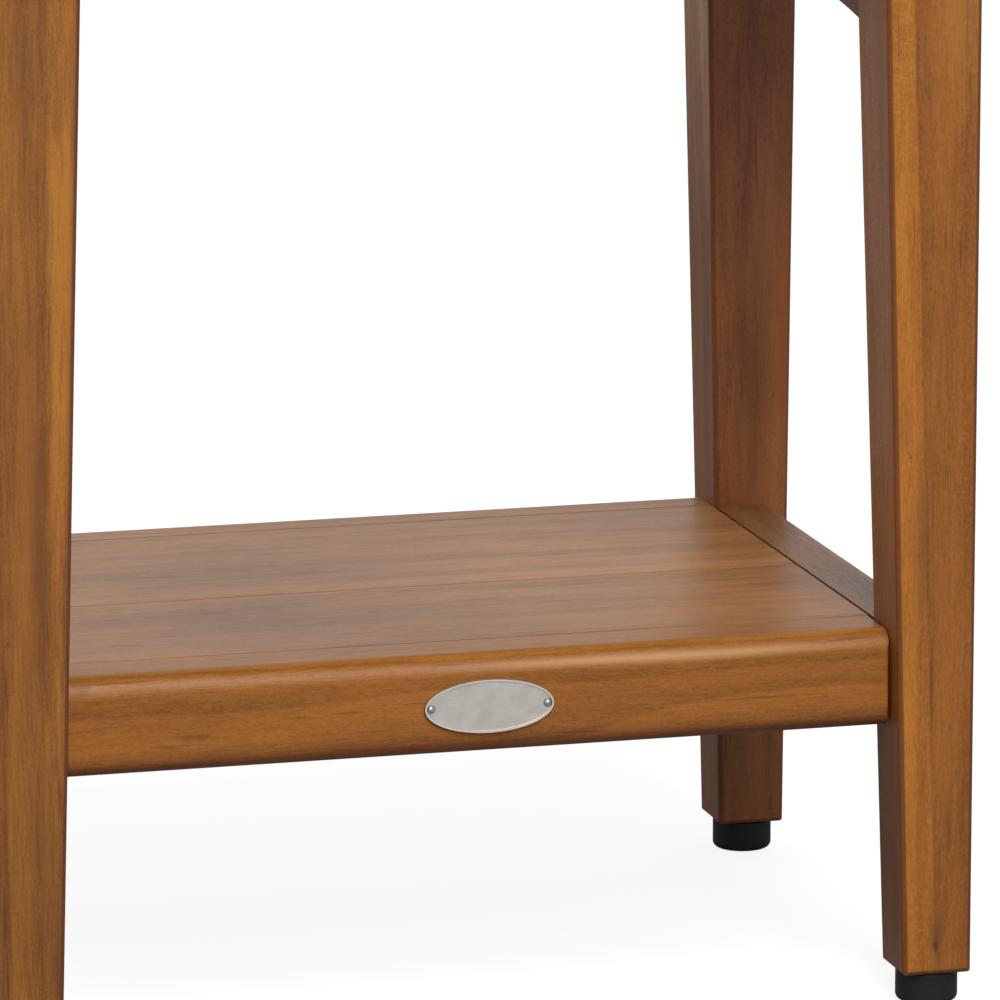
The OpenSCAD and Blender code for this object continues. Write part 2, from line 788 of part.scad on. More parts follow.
leg([LEFT, FRONT]);  // leg_front_left
leg([RIGHT, FRONT]);  // leg_front_right
leg([LEFT, BACK]);  // leg_back_left
leg([RIGHT, BACK]);  // leg_back_right
upper_side_rail(LEFT);  // upper_side_rail_left
upper_side_rail(RIGHT);  // upper_side_rail_right
lower_side_rail(LEFT);  // lower_side_rail_left
lower_side_rail(RIGHT);  // lower_side_rail_right
seat_rail(FRONT);  // seat_front_rail
seat_rail(BACK);  // seat_back_rail
seat_slat(0);  // seat_slat_1
seat_slat(1);  // seat_slat_2
seat_slat(2);  // seat_slat_3
seat_slat(3);  // seat_slat_4
seat_cleat(LEFT);  // seat_cleat_left
seat_cleat(RIGHT);  // seat_cleat_right
seat_bearer();
shelf_front_rail();
shelf_back_rail();
shelf_board(0);  // shelf_board_front
shelf_board(1);  // shelf_board_back
shelf_cleat(LEFT);  // shelf_cleat_left
shelf_cleat(RIGHT);  // shelf_cleat_right
shelf_bearer();
foot_pad([LEFT, FRONT]);  // foot_pad_front_left
foot_pad([RIGHT, FRONT]);  // foot_pad_front_right
foot_pad([LEFT, BACK]);  // foot_pad_back_left
foot_pad([RIGHT, BACK]);  // foot_pad_back_right
foot_stud([LEFT, FRONT]);  // foot_stud_front_left
foot_stud([RIGHT, FRONT]);  // foot_stud_front_right
foot_stud([LEFT, BACK]);  // foot_stud_back_left
foot_stud([RIGHT, BACK]);  // foot_stud_back_right
foot_inserts();
all_rail_dowels(upper_z0);  // upper_rail_dowels
all_rail_dowels(lower_z0);  // lower_rail_dowels
leg_top_dowels();
shelf_dowels();
seat_screws();
shelf_screws();
bolts(SEAT_BOLTS, seat_bolt_z);  // seat_bolts
bolts(SHELF_BOLTS, shelf_bolt_z);  // shelf_bolts
washers(SEAT_BOLTS, seat_bolt_z);  // seat_bolt_washers
washers(SHELF_BOLTS, shelf_bolt_z);  // shelf_bolt_washers
bolt_inserts(SEAT_BOLTS, seat_bolt_z);  // seat_bolt_inserts
bolt_inserts(SHELF_BOLTS, shelf_bolt_z);  // shelf_bolt_inserts
oval_plate();
plate_pins();
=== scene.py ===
"""Teak shower bench: oiled teak with its growth rings, pores and sheen, black rubber feet on threaded
studs, and a blank brushed oval plate held by two domed pins. Metres, +Z up, the front towards -Y."""

import json
import math

import bpy
import bmesh
from mathutils import Euler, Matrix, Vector

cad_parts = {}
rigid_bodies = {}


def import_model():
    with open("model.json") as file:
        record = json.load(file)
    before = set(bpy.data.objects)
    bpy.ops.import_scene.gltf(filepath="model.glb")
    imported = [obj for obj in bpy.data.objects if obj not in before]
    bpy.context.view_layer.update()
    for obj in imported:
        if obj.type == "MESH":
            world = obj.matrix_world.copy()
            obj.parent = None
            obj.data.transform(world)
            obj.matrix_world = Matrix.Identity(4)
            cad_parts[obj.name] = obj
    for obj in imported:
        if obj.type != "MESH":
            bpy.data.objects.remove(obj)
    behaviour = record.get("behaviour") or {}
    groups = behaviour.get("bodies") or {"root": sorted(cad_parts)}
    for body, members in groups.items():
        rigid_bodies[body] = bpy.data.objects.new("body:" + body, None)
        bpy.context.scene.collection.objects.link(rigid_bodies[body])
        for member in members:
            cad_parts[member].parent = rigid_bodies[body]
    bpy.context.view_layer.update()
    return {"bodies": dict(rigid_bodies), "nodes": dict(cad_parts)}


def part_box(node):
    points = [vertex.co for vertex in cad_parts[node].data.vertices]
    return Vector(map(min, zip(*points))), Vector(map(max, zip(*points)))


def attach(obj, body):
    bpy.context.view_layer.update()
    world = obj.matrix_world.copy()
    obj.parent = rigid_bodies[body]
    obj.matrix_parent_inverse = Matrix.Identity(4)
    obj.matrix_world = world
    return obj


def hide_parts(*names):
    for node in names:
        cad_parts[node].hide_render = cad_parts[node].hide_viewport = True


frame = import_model()
nodes = frame["nodes"]

bpy.context.scene.view_settings.view_transform = "Standard"
CORNERS = ("front_left", "front_right", "back_left", "back_right")


# ---------------------------------------------------------------- camera, stage and light

CAMERA_PLACE = (-0.81326, -3.12957, 0.87812)
CAMERA_TURN = (77.9675, 0.0, -15.2996)
CAMERA_LENS = 293.04
SENSOR_WIDTH = 36.0
LAMP_AIM = (0.0, -0.02, 0.22)
# name: place, size and power
LAMPS = {
    "low_lamp": ((0.0, -2.598, 1.750), (1.4, 0.8), 36.0),
    "high_lamp": ((0.0, -1.928, 2.548), (1.4, 1.0), 40.0),
}
# light levels by direction, in the order right, left, back, front, top, bottom
FILL_LEVELS = (0.45, 0.12, 1.70, 0.24, 0.42, 0.0)
GLOSS_LEVELS = (0.50, 1.20, 1.05, 0.50, 0.15, 0.0)
WHITE = (1, 1, 1, 1)
FLOOR_SIZE = 16.0
FLOOR_GREY = (0.30, 0.30, 0.30, 1)
FLOOR_LIFT = 0.83
FLOOR_GLOSS_LIFT = 0.05


def add_camera():
    lens = bpy.data.cameras.new("camera")
    lens.sensor_width = SENSOR_WIDTH
    lens.lens = CAMERA_LENS
    camera = bpy.data.objects.new("camera", lens)
    camera.location = CAMERA_PLACE
    camera.rotation_euler = Euler([math.radians(turn) for turn in CAMERA_TURN])
    bpy.context.scene.collection.objects.link(camera)
    bpy.context.scene.camera = camera


def add_node(tree, kind, inputs=None, **options):
    """Adds a shader node, sets its options, and sets or links each input that is given."""
    made = tree.nodes.new(kind)
    for name, value in options.items():
        setattr(made, name, value)
    for key, value in (inputs or {}).items():
        if isinstance(value, bpy.types.NodeSocket):
            tree.links.new(value, made.inputs[key])
        else:
            made.inputs[key].default_value = value
    return made


def math_node(tree, operation, first, second=0.0, third=0.0, clamp=False):
    made = add_node(tree, "ShaderNodeMath", {0: first, 1: second, 2: third}, operation=operation)
    made.use_clamp = clamp
    return made.outputs[0]


def vector_node(tree, operation, first, second=(0.0, 0.0, 0.0)):
    """A step of vector maths. A dot product or a length comes out as a value."""
    made = add_node(tree, "ShaderNodeVectorMath", {0: first, 1: second}, operation=operation)
    return made.outputs["Value" if operation in ("DOT_PRODUCT", "LENGTH") else "Vector"]


def ramp_range(tree, value, low, high, to_low=0.0, to_high=1.0, smooth=True):
    """Maps a value from low..high to to_low..to_high, clamped."""
    kind = "SMOOTHSTEP" if smooth else "LINEAR"
    made = add_node(
        tree, "ShaderNodeMapRange", {0: value, 1: low, 2: high, 3: to_low, 4: to_high},
        interpolation_type=kind)
    return made.outputs[0]


def fade_out(tree, value, low, high):
    return ramp_range(tree, value, low, high, 1.0, 0.0)


def scaled(tree, vector, scale):
    return vector_node(tree, "MULTIPLY", vector, scale)


def noise(tree, vector, scale, detail=2.0, rough=0.5):
    """Noise with its own scale along each axis, as a value from 0 to 1."""
    made = add_node(
        tree, "ShaderNodeTexNoise",
        {"Vector": scaled(tree, vector, scale), "Scale": 1.0, "Detail": detail, "Roughness": rough})
    return made.outputs["Fac"]


def by_direction(tree, way, levels):
    """A light level that changes smoothly with direction: right, left, back, front, top and bottom."""
    total = 0.0
    for sign, axis_levels in ((1.0, levels[0::2]), (-1.0, levels[1::2])):
        turned = scaled(tree, way, (sign, sign, sign))
        facing = vector_node(tree, "MAXIMUM", turned)
        squared = scaled(tree, facing, facing)
        part = vector_node(tree, "DOT_PRODUCT", squared, axis_levels)
        total = math_node(tree, "ADD", part, total)
    return total


def camera_and_gloss(tree):
    """1 for what the camera sees directly, and 1 for what is seen in or through something."""
    rays = add_node(tree, "ShaderNodeLightPath").outputs
    gloss = math_node(tree, "MAXIMUM", rays["Is Glossy Ray"], rays["Is Transmission Ray"])
    return rays["Is Camera Ray"], gloss


def set_world():
    """A white studio: what the camera sees is white, gloss sees pale walls, and the fill light is soft."""
    world = bpy.data.worlds.new("studio")
    bpy.context.scene.world = world
    world.use_nodes = True
    tree = world.node_tree
    tree.nodes.clear()
    seen, gloss = camera_and_gloss(tree)
    way = add_node(tree, "ShaderNodeTexCoord").outputs["Generated"]
    fill = by_direction(tree, way, FILL_LEVELS)
    walls = by_direction(tree, way, GLOSS_LEVELS)
    soft = math_node(tree, "MULTIPLY_ADD", gloss, math_node(tree, "SUBTRACT", walls, fill), fill)
    level = math_node(tree, "MAXIMUM", soft, seen)
    sky = add_node(tree, "ShaderNodeBackground", {"Color": WHITE, "Strength": level})
    add_node(tree, "ShaderNodeOutputWorld", {"Surface": sky.outputs[0]})


def new_material(name):
    paint = bpy.data.materials.new(name)
    paint.use_nodes = True
    paint.node_tree.nodes.clear()
    return paint, paint.node_tree


def add_floor():
    """A pale floor that stays under the lowest foot, wherever the feet are turned to."""
    bpy.ops.mesh.primitive_plane_add(size=FLOOR_SIZE, location=(0.0, 0.0, 0.0))
    floor = bpy.context.object
    floor.name = "floor"
    paint, tree = new_material("pale_floor")
    seen, gloss = camera_and_gloss(tree)
    gloss = math_node(tree, "MULTIPLY", gloss, FLOOR_GLOSS_LIFT)
    level = math_node(tree, "MULTIPLY_ADD", seen, FLOOR_LIFT, gloss)
    matt = add_node(tree, "ShaderNodeBsdfDiffuse", {"Color": FLOOR_GREY})
    lift = add_node(tree, "ShaderNodeEmission", {"Color": WHITE, "Strength": level})
    both = add_node(tree, "ShaderNodeAddShader", {0: matt.outputs[0], 1: lift.outputs[0]})
    add_node(tree, "ShaderNodeOutputMaterial", {"Surface": both.outputs[0]})
    floor.data.materials.append(paint)
    for corner in CORNERS:
        below = floor.constraints.new("FLOOR")
        below.name = "under_" + corner
        below.target = frame["bodies"]["pad_" + corner]
        below.floor_location = "FLOOR_NEGATIVE_Z"


def add_lamp(name, place, size, power):
    lamp = bpy.data.lights.new(name, "AREA")
    lamp.shape = "RECTANGLE"
    lamp.size, lamp.size_y = size
    lamp.energy = power
    holder = bpy.data.objects.new(name, lamp)
    holder.location = place
    holder.rotation_euler = (Vector(LAMP_AIM) - Vector(place)).to_track_quat("-Z", "Y").to_euler()
    bpy.context.scene.collection.objects.link(holder)


add_camera()
set_world()
add_floor()
for name, (place, size, power) in LAMPS.items():
    add_lamp(name, place, size, power)


# ---------------------------------------------------------------- teak

# how often each layer of the figure changes in a metre: two values across the grain, and one along it
WANDER_GRAIN = (14.0, 14.0, 3.2)
CLOUD_GRAIN = (42.0, 42.0, 13.0)
BROAD_GRAIN = (130.0, 130.0, 8.0)
NARROW_GRAIN = (430.0, 430.0, 32.0)
FIBRE_GRAIN = (1250.0, 1250.0, 130.0)
MOTTLE_GRAIN = (1350.0, 1350.0, 700.0)
CURL_GRAIN = (230.0, 230.0, 900.0)
PATCH_GRAIN = (70.0, 70.0, 9.0)
PORE_GRAIN = (1500.0, 1500.0, 190.0)
LINE_GRAIN = (500.0, 500.0, 20.0)
# how far the grain wanders, in metres
WANDER_REACH = (0.014, 0.014, 0.0)
# the tone that the layers change, from early wood at 0 to late wood at 1, and the strength of some of them
MIDDLE_TONE = 0.55
BROAD_SHARE = 0.6
NARROW_SHARE = 0.4
FIBRE_STRENGTH = 0.30
MOTTLE_STRENGTH = 1.30
# the share of the pores that late wood keeps
LATE_WOOD_PORES = 0.4
# how rough the wood is, how much rougher its fibres and pores are, and how high the fibres stand
SATIN = 0.35
FIBRE_MATT = 0.14
PORE_MATT = 0.2
FIBRE_RELIEF = 0.5
FIGURE_INPUTS = ("Ring Width", "Ring Strength", "Streaks", "Clouds", "Pores", "Ribbon")
# how often a stripe's edge wavers in a metre, and how far
STRIPE_WAVES = (35.0, 35.0, 14.0)
STRIPE_WAVE_REACH = 0.003
# where a spot fades out, and how far a surface may turn from an axis and from a face's own direction
SPOT_FADE = (0.25, 1.2)
EDGE_TURN = (0.955, 0.988)
FACE_TURN = (0.80, 0.97)


def new_group(name, vectors=(), colours=(), values=(), results=()):
    """An empty node group with these inputs and outputs. Results are pairs of a name and a kind of socket."""
    tree = bpy.data.node_groups.new(name, "ShaderNodeTree")
    for kind, names in (("Vector", vectors), ("Color", colours), ("Float", values)):
        for given in names:
            tree.interface.new_socket(given, in_out="INPUT", socket_type="NodeSocket" + kind)
    for given, kind in results:
        tree.interface.new_socket(given, in_out="OUTPUT", socket_type="NodeSocket" + kind)
    return tree, add_node(tree, "NodeGroupInput").outputs


def add_group(tree, group, inputs):
    return add_node(tree, "ShaderNodeGroup", inputs, node_tree=group).outputs


def mixed(tree, share, first, second, blend="MIX"):
    made = add_node(
        tree, "ShaderNodeMix", {"Factor": share, 6: first, 7: second}, data_type="RGBA", blend_type=blend)
    return made.outputs[2]


def make_teak_group():
    """Teak in the round: growth rings about the Z axis, streaks and fibres along it, pores and dark lines."""
    tree, given = new_group(
        "teak_figure", ("Place",), ("Pale", "Brown", "Dark"),
        FIGURE_INPUTS, (("Color", "Color"), ("Roughness", "Float"), ("Height", "Float")))
    place = given["Place"]

    # the grain wanders a few millimetres over a hand's length
    wander = add_node(
        tree, "ShaderNodeTexNoise",
        {"Vector": scaled(tree, place, WANDER_GRAIN), "Scale": 1.0, "Detail": 1.5})
    centred = vector_node(tree, "SUBTRACT", wander.outputs["Color"], (0.5, 0.5, 0.5))
    warped = vector_node(tree, "ADD", place, scaled(tree, centred, WANDER_REACH))

    # growth rings: porous and brown where a year starts, paler later on
    radius = vector_node(tree, "LENGTH", scaled(tree, warped, (1.0, 1.0, 0.0)))
    year = math_node(tree, "FRACT", math_node(tree, "DIVIDE", radius, given["Ring Width"]))
    late = ramp_range(tree, year, 0.02, 0.62)
    edge = ramp_range(tree, year, 0.90, 1.0)
    ring_tone = math_node(tree, "SUBTRACT", late, edge, clamp=True)
    early = math_node(tree, "SUBTRACT", 1.0, ramp_range(tree, year, 0.0, 0.38))

    # soft clouds, broad and narrow streaks and fine fibres along the grain, and a fine mottle
    cloud = ramp_range(tree, noise(tree, place, CLOUD_GRAIN, 2.0, 0.55), 0.3, 0.7)
    broad = ramp_range(tree, noise(tree, warped, BROAD_GRAIN, 3.0, 0.6), 0.3, 0.7)
    narrow = ramp_range(tree, noise(tree, warped, NARROW_GRAIN, 3.0, 0.65), 0.3, 0.7)
    fibre = ramp_range(tree, noise(tree, place, FIBRE_GRAIN, 2.0, 0.6), 0.28, 0.72)
    mottle = noise(tree, place, MOTTLE_GRAIN, 2.0, 0.6)
    broad = math_node(tree, "MULTIPLY", broad, BROAD_SHARE)
    narrow = math_node(tree, "MULTIPLY", narrow, NARROW_SHARE)
    streak = math_node(tree, "ADD", broad, narrow)
    tone = MIDDLE_TONE
    for layer, middle, strength in (
            (streak, 0.5, given["Streaks"]), (ring_tone, 0.6, given["Ring Strength"]),
            (cloud, 0.5, given["Clouds"]), (fibre, 0.5, FIBRE_STRENGTH), (mottle, 0.5, MOTTLE_STRENGTH)):
        level = math_node(tree, "SUBTRACT", layer, middle)
        tone = math_node(tree, "MULTIPLY_ADD", level, strength, tone)

    # ribbon: short pale marks across the grain, where the fibres interlock
    curl = ramp_range(tree, noise(tree, place, CURL_GRAIN, 2.0, 0.5), 0.5, 0.75)
    patch = ramp_range(tree, noise(tree, place, PATCH_GRAIN, 1.0), 0.5, 0.66)
    ribbon = math_node(tree, "MULTIPLY", math_node(tree, "MULTIPLY", curl, patch), given["Ribbon"])
    tone = math_node(tree, "ADD", tone, ribbon, clamp=True)

    # open pores, as short dashes, dense at the start of each ring, and a few long thin dark lines
    pits = ramp_range(tree, noise(tree, place, PORE_GRAIN, 1.0), 0.64, 0.76)
    where = math_node(tree, "MULTIPLY_ADD", early, 1.0 - LATE_WOOD_PORES, LATE_WOOD_PORES)
    pits = math_node(tree, "MULTIPLY", math_node(tree, "MULTIPLY", pits, where), given["Pores"])
    lines = ramp_range(tree, noise(tree, warped, LINE_GRAIN, 1.0), 0.68, 0.78)
    lines = math_node(tree, "MULTIPLY", lines, given["Pores"])
    dark = math_node(tree, "MAXIMUM", pits, lines, clamp=True)

    wood = mixed(tree, tone, given["Brown"], given["Pale"])
    stained = mixed(tree, dark, wood, given["Dark"])
    gloss = math_node(tree, "MULTIPLY_ADD", fibre, FIBRE_MATT, SATIN)
    gloss = math_node(tree, "MULTIPLY_ADD", dark, PORE_MATT, gloss, clamp=True)
    relief = math_node(tree, "SUBTRACT", math_node(tree, "MULTIPLY", fibre, FIBRE_RELIEF), dark)
    add_node(tree, "NodeGroupOutput", {"Color": stained, "Roughness": gloss, "Height": relief})
    return tree


def make_spot_group():
    """A soft ragged spot about the origin, 1 in its middle and 0 at a distance of about 1."""
    tree, given = new_group("soft_spot", ("Place",), results=(("Mask", "Float"),))
    ragged = add_node(
        tree, "ShaderNodeTexNoise", {"Vector": given["Place"], "Scale": 1.7, "Detail": 2.0}).outputs["Fac"]
    reach = vector_node(tree, "LENGTH", given["Place"])
    reach = math_node(tree, "MULTIPLY_ADD", ragged, 0.5, reach)
    add_node(tree, "NodeGroupOutput", {"Mask": fade_out(tree, reach, *SPOT_FADE)})
    return tree


def make_stripe_group():
    """1 on the side of a plane that Across points to, 0 on the other, with a soft and slightly wavy edge."""
    tree, given = new_group("soft_stripe", ("Place", "Across"), (), ("At", "Soft"), (("Mask", "Float"),))
    wave = noise(tree, given["Place"], STRIPE_WAVES, 2.0)
    depth = vector_node(tree, "DOT_PRODUCT", given["Place"], given["Across"])
    depth = math_node(tree, "SUBTRACT", depth, given["At"])
    depth = math_node(tree, "MULTIPLY_ADD", math_node(tree, "SUBTRACT", wave, 0.5), STRIPE_WAVE_REACH, depth)
    share = math_node(tree, "DIVIDE", depth, given["Soft"])
    share = math_node(tree, "MULTIPLY_ADD", share, 0.5, 0.5, clamp=True)
    add_node(tree, "NodeGroupOutput", {"Mask": ramp_range(tree, share, 0.0, 1.0)})
    return tree


def make_eased_group():
    """0 where a surface faces along an axis, and 1 on the rounding between two such faces."""
    tree, given = new_group("eased_edge", ("Normal",), results=(("Mask", "Float"),))
    upright = vector_node(tree, "ABSOLUTE", given["Normal"])
    along = add_node(tree, "ShaderNodeSeparateXYZ", {0: upright}).outputs
    most = math_node(tree, "MAXIMUM", math_node(tree, "MAXIMUM", along["X"], along["Y"]), along["Z"])
    add_node(tree, "NodeGroupOutput", {"Mask": fade_out(tree, most, *EDGE_TURN)})
    return tree


def make_facing_group():
    """1 where a surface faces the way that Toward points, and 0 on the others."""
    tree, given = new_group("facing", ("Normal", "Toward"), results=(("Mask", "Float"),))
    turned = vector_node(tree, "DOT_PRODUCT", given["Normal"], given["Toward"])
    add_node(tree, "NodeGroupOutput", {"Mask": ramp_range(tree, turned, *FACE_TURN)})
    return tree


def three_tones(pale, brown, dark):
    """The three colours of one kind of wood: late wood, early wood, and its pores."""
    return {"Pale": (*pale, 1), "Brown": (*brown, 1), "Dark": (*dark, 1)}


TEAK = make_teak_group()
SPOT = make_spot_group()
STRIPE = make_stripe_group()
EASED = make_eased_group()
FACING = make_facing_group()
QUARTER_TURN = math.radians(90.0)
TURN_TO_GRAIN = {"x": (0.0, -QUARTER_TURN, 0.0), "y": (QUARTER_TURN, 0.0, 0.0), "z": (0.0, 0.0, 0.0)}

ORANGE_TEAK = three_tones((0.390, 0.138, 0.0210), (0.225, 0.073, 0.0120), (0.070, 0.024, 0.0090))
LEG_TEAK = three_tones((0.350, 0.122, 0.0190), (0.195, 0.062, 0.0110), (0.070, 0.024, 0.0090))
OLIVE_TEAK = three_tones((0.345, 0.129, 0.0205), (0.185, 0.063, 0.0135), (0.075, 0.027, 0.0100))
PLUM_TEAK = three_tones((0.390, 0.142, 0.0400), (0.215, 0.070, 0.0250), (0.070, 0.024, 0.0120))
SHELF_TEAK = three_tones((0.385, 0.165, 0.0420), (0.215, 0.088, 0.0240), (0.075, 0.030, 0.0130))
BACK_TEAK = three_tones((0.465, 0.202, 0.0530), (0.280, 0.117, 0.0330), (0.085, 0.034, 0.0140))
SIDE_TEAK = three_tones((0.320, 0.138, 0.0430), (0.175, 0.072, 0.0250), (0.060, 0.026, 0.0120))
SAWN_TEAK = three_tones((0.340, 0.140, 0.0350), (0.210, 0.082, 0.0200), (0.080, 0.032, 0.0130))
DOWEL_WOOD = three_tones((0.62, 0.45, 0.27), (0.48, 0.33, 0.18), (0.30, 0.19, 0.10))
WOOD_IOR = 1.45
WOOD_SHINE = 0.4
PORE_DEPTH = 0.0002
PORE_BUMP = 0.35


def spot_mask(tree, place, centre, reach):
    scale = [1.0 / r for r in reach]
    start = [-c * s for c, s in zip(centre, scale)]
    moved = add_node(tree, "ShaderNodeMapping", {"Vector": place, "Location": start, "Scale": scale})
    return add_group(tree, SPOT, {"Place": moved.outputs[0]})["Mask"]


def mark_and_light_mask(tree, coords, kind, shape):
    """Where one mark lies, from 0 to 1. The marks are stains and painted light and shade, and the shape is as
    their table gives it.
    """
    if kind == "spot":
        return spot_mask(tree, coords["Object"], *shape)
    if kind == "stripe":
        across, at, soft = shape
        inputs = {"Place": coords["Object"], "Across": across, "At": at, "Soft": soft}
        return add_group(tree, STRIPE, inputs)["Mask"]
    if kind == "facing":
        toward, centre, reach = shape
        near = spot_mask(tree, coords["Object"], centre, reach)
        turned = add_group(tree, FACING, {"Normal": coords["Normal"], "Toward": toward})["Mask"]
        return math_node(tree, "MULTIPLY", near, turned)
    return add_group(tree, EASED, {"Normal": coords["Normal"]})["Mask"]


def teak_material(name, colours, grain, pith, shift, figure, marks_and_light=()):
    """One board's own teak. The pith is where its rings are centred, in the cross-section."""
    paint, tree = new_material(name)
    coords = add_node(tree, "ShaderNodeTexCoord").outputs
    first, second = pith
    moves = {"x": (second, -first, shift), "y": (-first, second, shift), "z": (-first, -second, shift)}
    placed = add_node(
        tree, "ShaderNodeMapping",
        {"Vector": coords["Object"], "Location": moves[grain], "Rotation": TURN_TO_GRAIN[grain]})
    wood = add_group(tree, TEAK, {"Place": placed.outputs[0], **colours, **dict(zip(FIGURE_INPUTS, figure))})
    colour = wood["Color"]
    for kind, mark_colour, strength, *shape in marks_and_light:
        share = math_node(tree, "MULTIPLY", mark_and_light_mask(tree, coords, kind, shape), strength)
        blend = "MULTIPLY" if kind in ("stripe", "facing") else "MIX"
        colour = mixed(tree, share, colour, mark_colour, blend)
    bump = add_node(
        tree, "ShaderNodeBump", {"Strength": PORE_BUMP, "Distance": PORE_DEPTH, "Height": wood["Height"]})
    shader = add_node(
        tree, "ShaderNodeBsdfPrincipled",
        {"Base Color": colour, "Roughness": wood["Roughness"], "IOR": WOOD_IOR,
         "Specular IOR Level": WOOD_SHINE, "Normal": bump.outputs[0]})
    add_node(tree, "ShaderNodeOutputMaterial", {"Surface": shader.outputs[0]})
    return paint


def dress(name, paint):
    """Gives a CAD node that material in all of its slots."""
    shown = nodes[name]
    for slot in shown.material_slots:
        slot.material = paint


# stains and painted light: a kind, a colour and a strength, then a spot's middle and reach, a stripe's
# direction, place and softness, or for a mark on one face its direction, middle and reach. A spot and an
# eased edge take the mark's own colour, and a stripe and a face multiply the wood's colour by it. Some marks
# are painted light and
# shade: the shaded eased edges of the legs, the painted sheen and shade on the legs' inner faces, the shade
# on the front left leg's right edge and on the back right leg, the front rail's shaded underside, sheen and
# warmer top band, and the shaded top and lit outer edge of the right lower side rail.
KNOT = (0.045, 0.016, 0.008, 1)
# dark streaks and blotches in the wood; on the back right leg's front and the right lower side rail's top it
# is painted shade
DARK_MARK_AND_SHADE = (0.130, 0.048, 0.016, 1)
BRIGHT = (0.425, 0.152, 0.0190, 1)
PALE_TEAK = (0.500, 0.215, 0.0450, 1)
# painted shade for the eased edges of the legs, where the light falls away on the rounding
EASED_EDGE_SHADE = (0.120, 0.030, 0.0100, 1)
GLOWING = (1.36, 1.40, 1.20, 1)
# painted sheen: greyer and bluer at the top of the back right leg's inner face
BACK_INNER_SHEEN = (2.20, 3.70, 6.60, 1)
SHEEN = (0.560, 0.290, 0.1100, 1)
# painted sheen: bluer at the top of the front right leg's inner face
FRONT_INNER_SHEEN = (1.65, 2.35, 9.50, 1)
RUSSET = (0.340, 0.115, 0.0260, 1)
# painted highlight: lighter along the outer edge of the right lower side rail
OUTER_EDGE_HIGHLIGHT = (1.30, 1.25, 1.22, 1)
PLUM_TINT = (1.00, 1.08, 2.10, 1)
# painted shade: darker and bluer along the right edge of the front left leg
RIGHT_EDGE_SHADE = (0.70, 0.66, 1.00, 1)
# painted shade: darker low on the front right leg's inner face
INNER_LOW_SHADE = (0.40, 0.38, 0.80, 1)
# painted shade: the front rail darker over its lower rounding and underside
RAIL_UNDERSIDE_SHADE = (0.42, 0.34, 0.50, 1)
# painted light: warmer and more orange along the front rail's top and the start of its rounding, where the
# sheen falls away
TOP_BAND_SHADING = (1.02, 1.06, 0.80, 1)
LIKE_BOARDS = (0.92, 0.94, 0.95, 1)
FRONT_Y = -0.1413
TOP_Z = 0.1538
RAIL_Y = -0.1318
# painted shade along the eased edges of a leg
SHADED_EDGE = ("eased", EASED_EDGE_SHADE, 0.72)
TO_LEFT = (-1.0, 0.0, 0.0)
TO_FRONT = (0.0, -1.0, 0.0)
